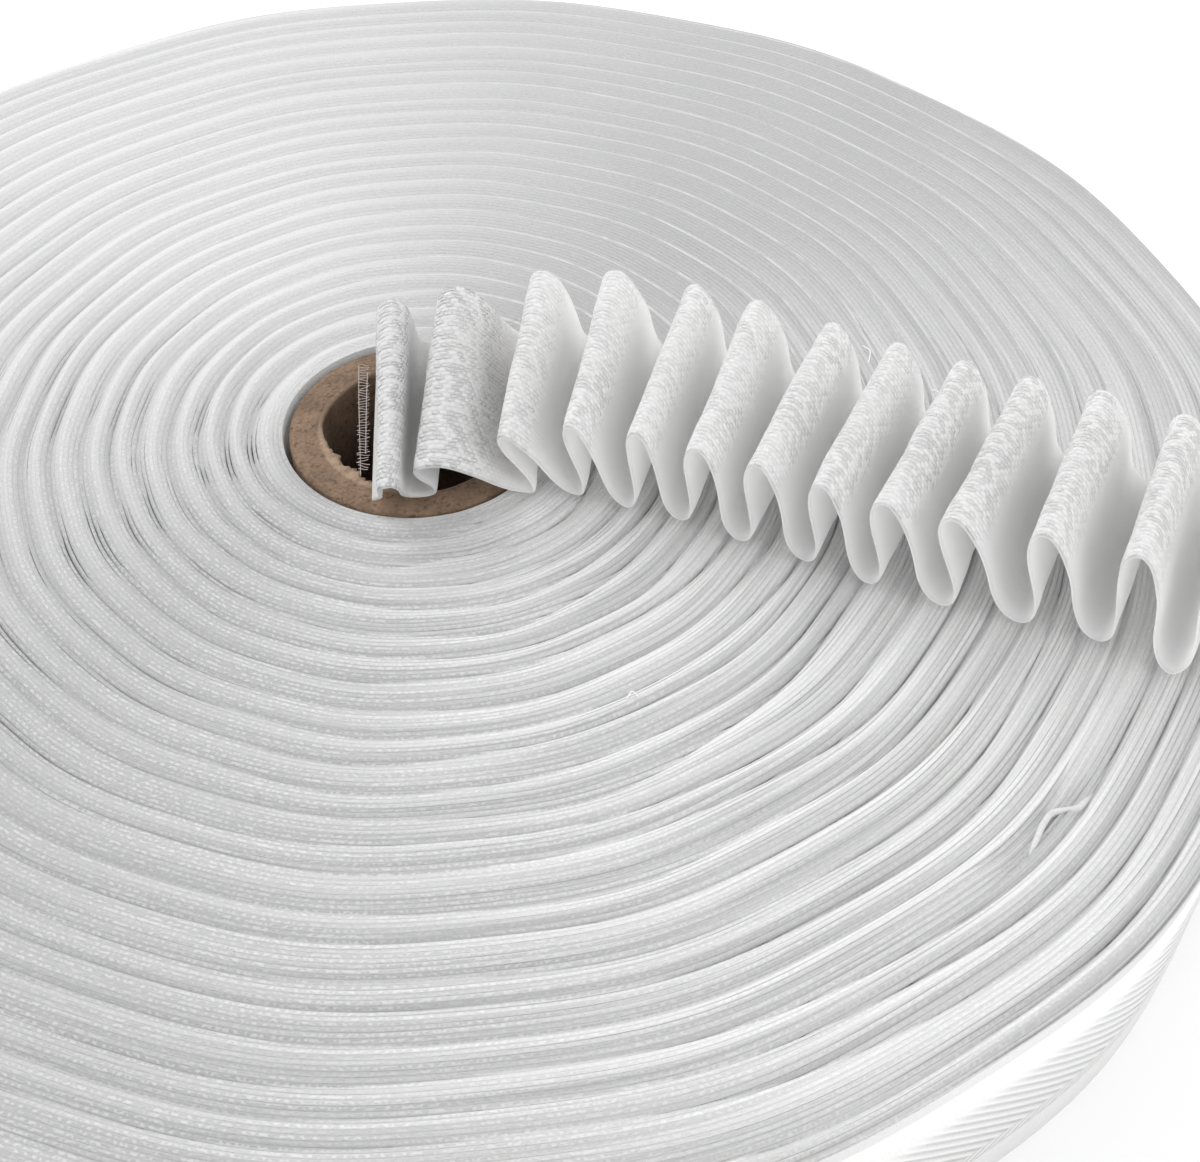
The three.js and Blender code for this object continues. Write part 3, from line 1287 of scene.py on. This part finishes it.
@dataclass
class CutEnd:
    """Frayed threads at the tape's cut end, over the core: a ladder of loose warp and weft."""

    near: Point = (-8.35 * MM, -7.2 * MM, 25.6 * MM)
    far: Point = (-7.6 * MM, 9.6 * MM, 25.9 * MM)
    first_rail: Point = (-0.45 * MM, -0.3 * MM, -0.1 * MM)
    last_rail: Point = (0.35 * MM, 0.4 * MM, 0.1 * MM)
    rungs: int = 40
    rails: int = 2
    rung_scatter: float = 0.3
    rail_scatter: float = 0.02
    rung_seed: int = 7
    rail_seed: int = 12
    shortest: float = 0.7
    longest: float = 1.15
    breadth: float = 1.25 * MM
    thread_radius: float = 0.045 * MM

    def build(self, material: bpy.types.Material) -> bpy.types.Object:
        """Sets short rungs along the cut and a few loose rails across them.

        Args:
            material: the thread's finish.

        Returns:
            The joined threads.
        """
        tree = ShapeTree(
            "cut_end_threads",
            {"Rungs": self.rungs, "Rails": self.rails, "Breadth": self.breadth, "Radius": self.thread_radius},
            material,
        )
        rung = (tree.size("Breadth"), 0.0, 0.0)
        count = tree.size("Rungs")
        rungs = self.row(tree, count, self.near, self.far, rung, self.rung_scatter, self.rung_seed)
        run = tuple(b - a for a, b in zip(self.near, self.far))
        start, end = (
            tuple((a + b) / 2 + aside for a, b, aside in zip(self.near, self.far, rail))
            for rail in (self.first_rail, self.last_rail)
        )
        count = tree.size("Rails")
        rails = self.row(tree, count, start, end, run, self.rail_scatter, self.rail_seed)
        return tree.threads([rungs, rails], 5)

    def row(
        self, tree: ShapeTree, count: Wire, start: Point, end: Point, reach: tuple, scatter: float, seed: int
    ) -> bpy.types.NodeSocket:
        """A row of slightly bent threads, one at each step of a line.

        Args:
            tree: the tree that makes the threads.
            count: how many threads.
            start: where the row starts.
            end: where it ends.
            reach: the thread's own length and direction.
            scatter: how far each thread is turned, in radians.
            seed: the row's own seed.

        Returns:
            The threads, as curves.
        """
        graph = tree.graph
        line = graph.node(
            "GeometryNodeMeshLine",
            {"mode": "END_POINTS"},
            {"Count": count, "Start Location": start, "Offset": end},
        )
        x, y, z = (graph.math("MULTIPLY", part, 1.0) for part in reach)
        strand = graph.node(
            "GeometryNodeCurvePrimitiveBezierSegment",
            None,
            {
                "Resolution": 10,
                "Start": graph.vector(x * -0.5, y * -0.5, z * -0.5),
                "Start Handle": graph.vector(x * -0.2, y * -0.2 - 0.1 * MM, z * -0.2 + 0.25 * MM),
                "End Handle": graph.vector(x * 0.2 - 0.15 * MM, y * 0.2, z * 0.2 - 0.2 * MM),
                "End": graph.vector(x * 0.5, y * 0.5, z * 0.5),
            },
        )
        turn = graph.node(
            "FunctionNodeRandomValue",
            {"data_type": "FLOAT_VECTOR"},
            {"Min": (-scatter,) * 3, "Max": (scatter,) * 3, "Seed": seed},
        )
        grown = graph.node(
            "FunctionNodeRandomValue",
            {"data_type": "FLOAT"},
            {"Min": self.shortest, "Max": self.longest, "Seed": seed + 1},
        )
        size = next(s for s in grown.outputs if s.type == "VALUE" and s.enabled)
        spin = next(s for s in turn.outputs if s.type == "VECTOR" and s.enabled)
        placed = graph.node(
            "GeometryNodeInstanceOnPoints",
            None,
            {"Points": line.outputs[0], "Instance": strand.outputs[0], "Rotation": spin, "Scale": size},
        )
        return graph.node("GeometryNodeRealizeInstances", None, {"Geometry": placed.outputs[0]}).outputs[0]


@dataclass(frozen=True)
class ThreadBit:
    """One loose bit of thread: its two ends and the point that it bends to, in millimetres."""

    start: Point
    bend: Point
    end: Point


THREAD_BITS = (
    ThreadBit((38.2, 9.8, 25.05), (38.9, 11.2, 25.7), (38.3, 13.0, 25.1)),
    ThreadBit((49.6, 4.6, 25.05), (50.3, 6.2, 25.6), (49.6, 7.6, 25.1)),
    ThreadBit((55.6, -3.6, 25.1), (56.3, -2.2, 25.8), (55.7, -0.8, 25.1)),
    ThreadBit((15.5, -41.3, 24.85), (16.1, -40.6, 25.3), (16.6, -41.2, 24.85)),
)


@dataclass
class LooseThreads:
    """The few bits of thread that lie on the face beside the pleats."""

    radius: float = 0.07 * MM

    def build(self, material: bpy.types.Material) -> bpy.types.Object:
        """Draws each bit as one bent thread.

        Args:
            material: the thread's finish.

        Returns:
            The joined bits.
        """
        tree = ShapeTree("loose_threads", {"Radius": self.radius}, material)
        curves = []
        for bit in THREAD_BITS:
            places = (bit.start, bit.bend, bit.end)
            start, bend, end = (tuple(part * MM for part in place) for place in places)
            curve = tree.graph.node(
                "GeometryNodeCurvePrimitiveBezierSegment",
                None,
                {"Resolution": 12, "Start": start, "Start Handle": bend, "End Handle": bend, "End": end},
            )
            curves.append(curve.outputs[0])
        return tree.threads(curves, 6)


@dataclass(frozen=True)
class Lamp:
    """One soft square lamp that looks at the roll: place and side in metres, power in watts."""

    name: str
    place: Point
    side: float
    power: float

    def hang(self) -> None:
        """Adds the lamp to the scene."""
        data = bpy.data.lights.new(self.name, "AREA")
        data.size = self.side
        data.energy = self.power
        lamp = bpy.data.objects.new(self.name, data)
        lamp.location = self.place
        lamp.rotation_euler = (-Vector(self.place)).to_track_quat("-Z", "Y").to_euler()
        bpy.context.collection.objects.link(lamp)


@dataclass
class Studio:
    """Camera, lights and floor."""

    eye: Point = (-2.4 * MM, -151.7 * MM, 160.3 * MM)
    yaw: float = math.radians(7.8)
    pitch: float = math.radians(46.8)
    roll: float = math.radians(0.9)
    focal_pixels: float = 1829.8
    image_width: float = 1200.0
    sensor: float = 36.0
    floor_side: float = 6.0
    sky_strength: float = 0.93
    nearest: float = 5 * MM
    lamps: tuple[Lamp, ...] = (
        Lamp("key_lamp", (-0.6, 0.85, 0.6), 0.7, 7.6),
        Lamp("side_lamp", (0.9, -0.7, 0.7), 0.9, 5.4),
    )

    def camera(self) -> None:
        """Sets the camera that was fitted to the photograph."""
        level = math.cos(self.pitch)
        forward = Vector((math.sin(self.yaw) * level, math.cos(self.yaw) * level, -math.sin(self.pitch)))
        right = Vector((math.cos(self.yaw), -math.sin(self.yaw), 0.0))
        up = right.cross(forward)
        across = right * math.cos(self.roll) + up * math.sin(self.roll)
        above = up * math.cos(self.roll) - right * math.sin(self.roll)
        data = bpy.data.cameras.new("camera")
        data.sensor_width = self.sensor
        data.sensor_fit = "HORIZONTAL"
        data.lens = self.focal_pixels / self.image_width * self.sensor
        data.clip_start = self.nearest
        camera = bpy.data.objects.new("camera", data)
        turn = Matrix((across, above, -forward)).transposed().to_4x4()
        camera.matrix_world = Matrix.Translation(self.eye) @ turn
        bpy.context.collection.objects.link(camera)
        bpy.context.scene.camera = camera

    def lights(self) -> None:
        """Sets the sky and the lamps: the key stands behind and to the left."""
        world = bpy.data.worlds.new("studio_sky")
        world.use_nodes = True
        sky = world.node_tree.nodes["Background"]
        sky.inputs["Color"].default_value = rgba(1.0, 1.0, 1.0)
        sky.inputs["Strength"].default_value = self.sky_strength
        bpy.context.scene.world = world
        bpy.context.scene.view_settings.view_transform = "Standard"
        for lamp in self.lamps:
            lamp.hang()

    def floor(self) -> None:
        """Lays the floor under the roll."""
        half = self.floor_side / 2
        points = [(-half, -half, 0.0), (half, -half, 0.0), (half, half, 0.0), (-half, half, 0.0)]
        material = FloorFinish("pale_floor", rgba(0.92, 0.92, 0.92), 0.9).build()
        floor = mesh_piece("studio_floor", points, [(0, 1, 2, 3)], material)


@dataclass
class Roll:
    """The whole roll, put together."""

    tape: WoundTape = field(default_factory=WoundTape)
    loose: LooseTurn = field(default_factory=LooseTurn)
    core: CoreTube = field(default_factory=CoreTube)
    pleats: GatheredEnd = field(default_factory=GatheredEnd)
    cut: CutEnd = field(default_factory=CutEnd)
    bits: LooseThreads = field(default_factory=LooseThreads)

    def dress(self) -> None:
        """Builds every piece and ties it to the frame."""
        white = rgba(0.77, 0.773, 0.77)
        edge = EdgeFinish("wound_white_tape", white, 0.85, 0.05).build()
        weave = WeaveFinish("woven_white_tape", rgba(0.985, 0.986, 0.983), 0.85, 0.05).build()
        middle = (self.core.centre_x, self.core.centre_y)
        board = BoardFinish("brown_tube_board", rgba(0.32, 0.215, 0.145), 0.9, centre=middle).build()
        thread = ThreadFinish("frayed_thread", rgba(0.66, 0.58, 0.55), 0.8).build()
        fluff = ThreadFinish("white_thread", rgba(0.92, 0.92, 0.92), 0.8, low=rgba(0.80, 0.80, 0.80)).build()
        turns = self.tape.build(edge)
        for piece in turns:
            self.tie(piece, "wound_roll")
        self.tie(self.loose.build(edge), None)
        self.tie(self.core.build(board), "core_tube")
        pleated = self.pleats.build(weave)
        self.tie(pleated, "gathered_end")
        threads = self.cut.build(thread)
        self.tie(threads, None)
        self.tie(self.bits.build(fluff), None)
        self.pleats.length()

    def tie(self, piece: bpy.types.Object, node: str | None) -> None:
        """Makes a piece ride on the roll and stand for its solid.

        Args:
            piece: the finished piece.
            node: the CAD node that it replaces, if any.
        """
        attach(piece, "root")
        if node:
            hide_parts(node)
        LOG.info("%s: %d faces", piece.name, len(piece.data.polygons))


def main() -> None:
    """Builds the roll and its studio, in order."""
    logging.basicConfig(level=logging.INFO, format="%(name)s %(message)s")
    Roll().dress()
    studio = Studio()
    studio.camera()
    studio.lights()
    studio.floor()


if __name__ == "__main__":
    main()
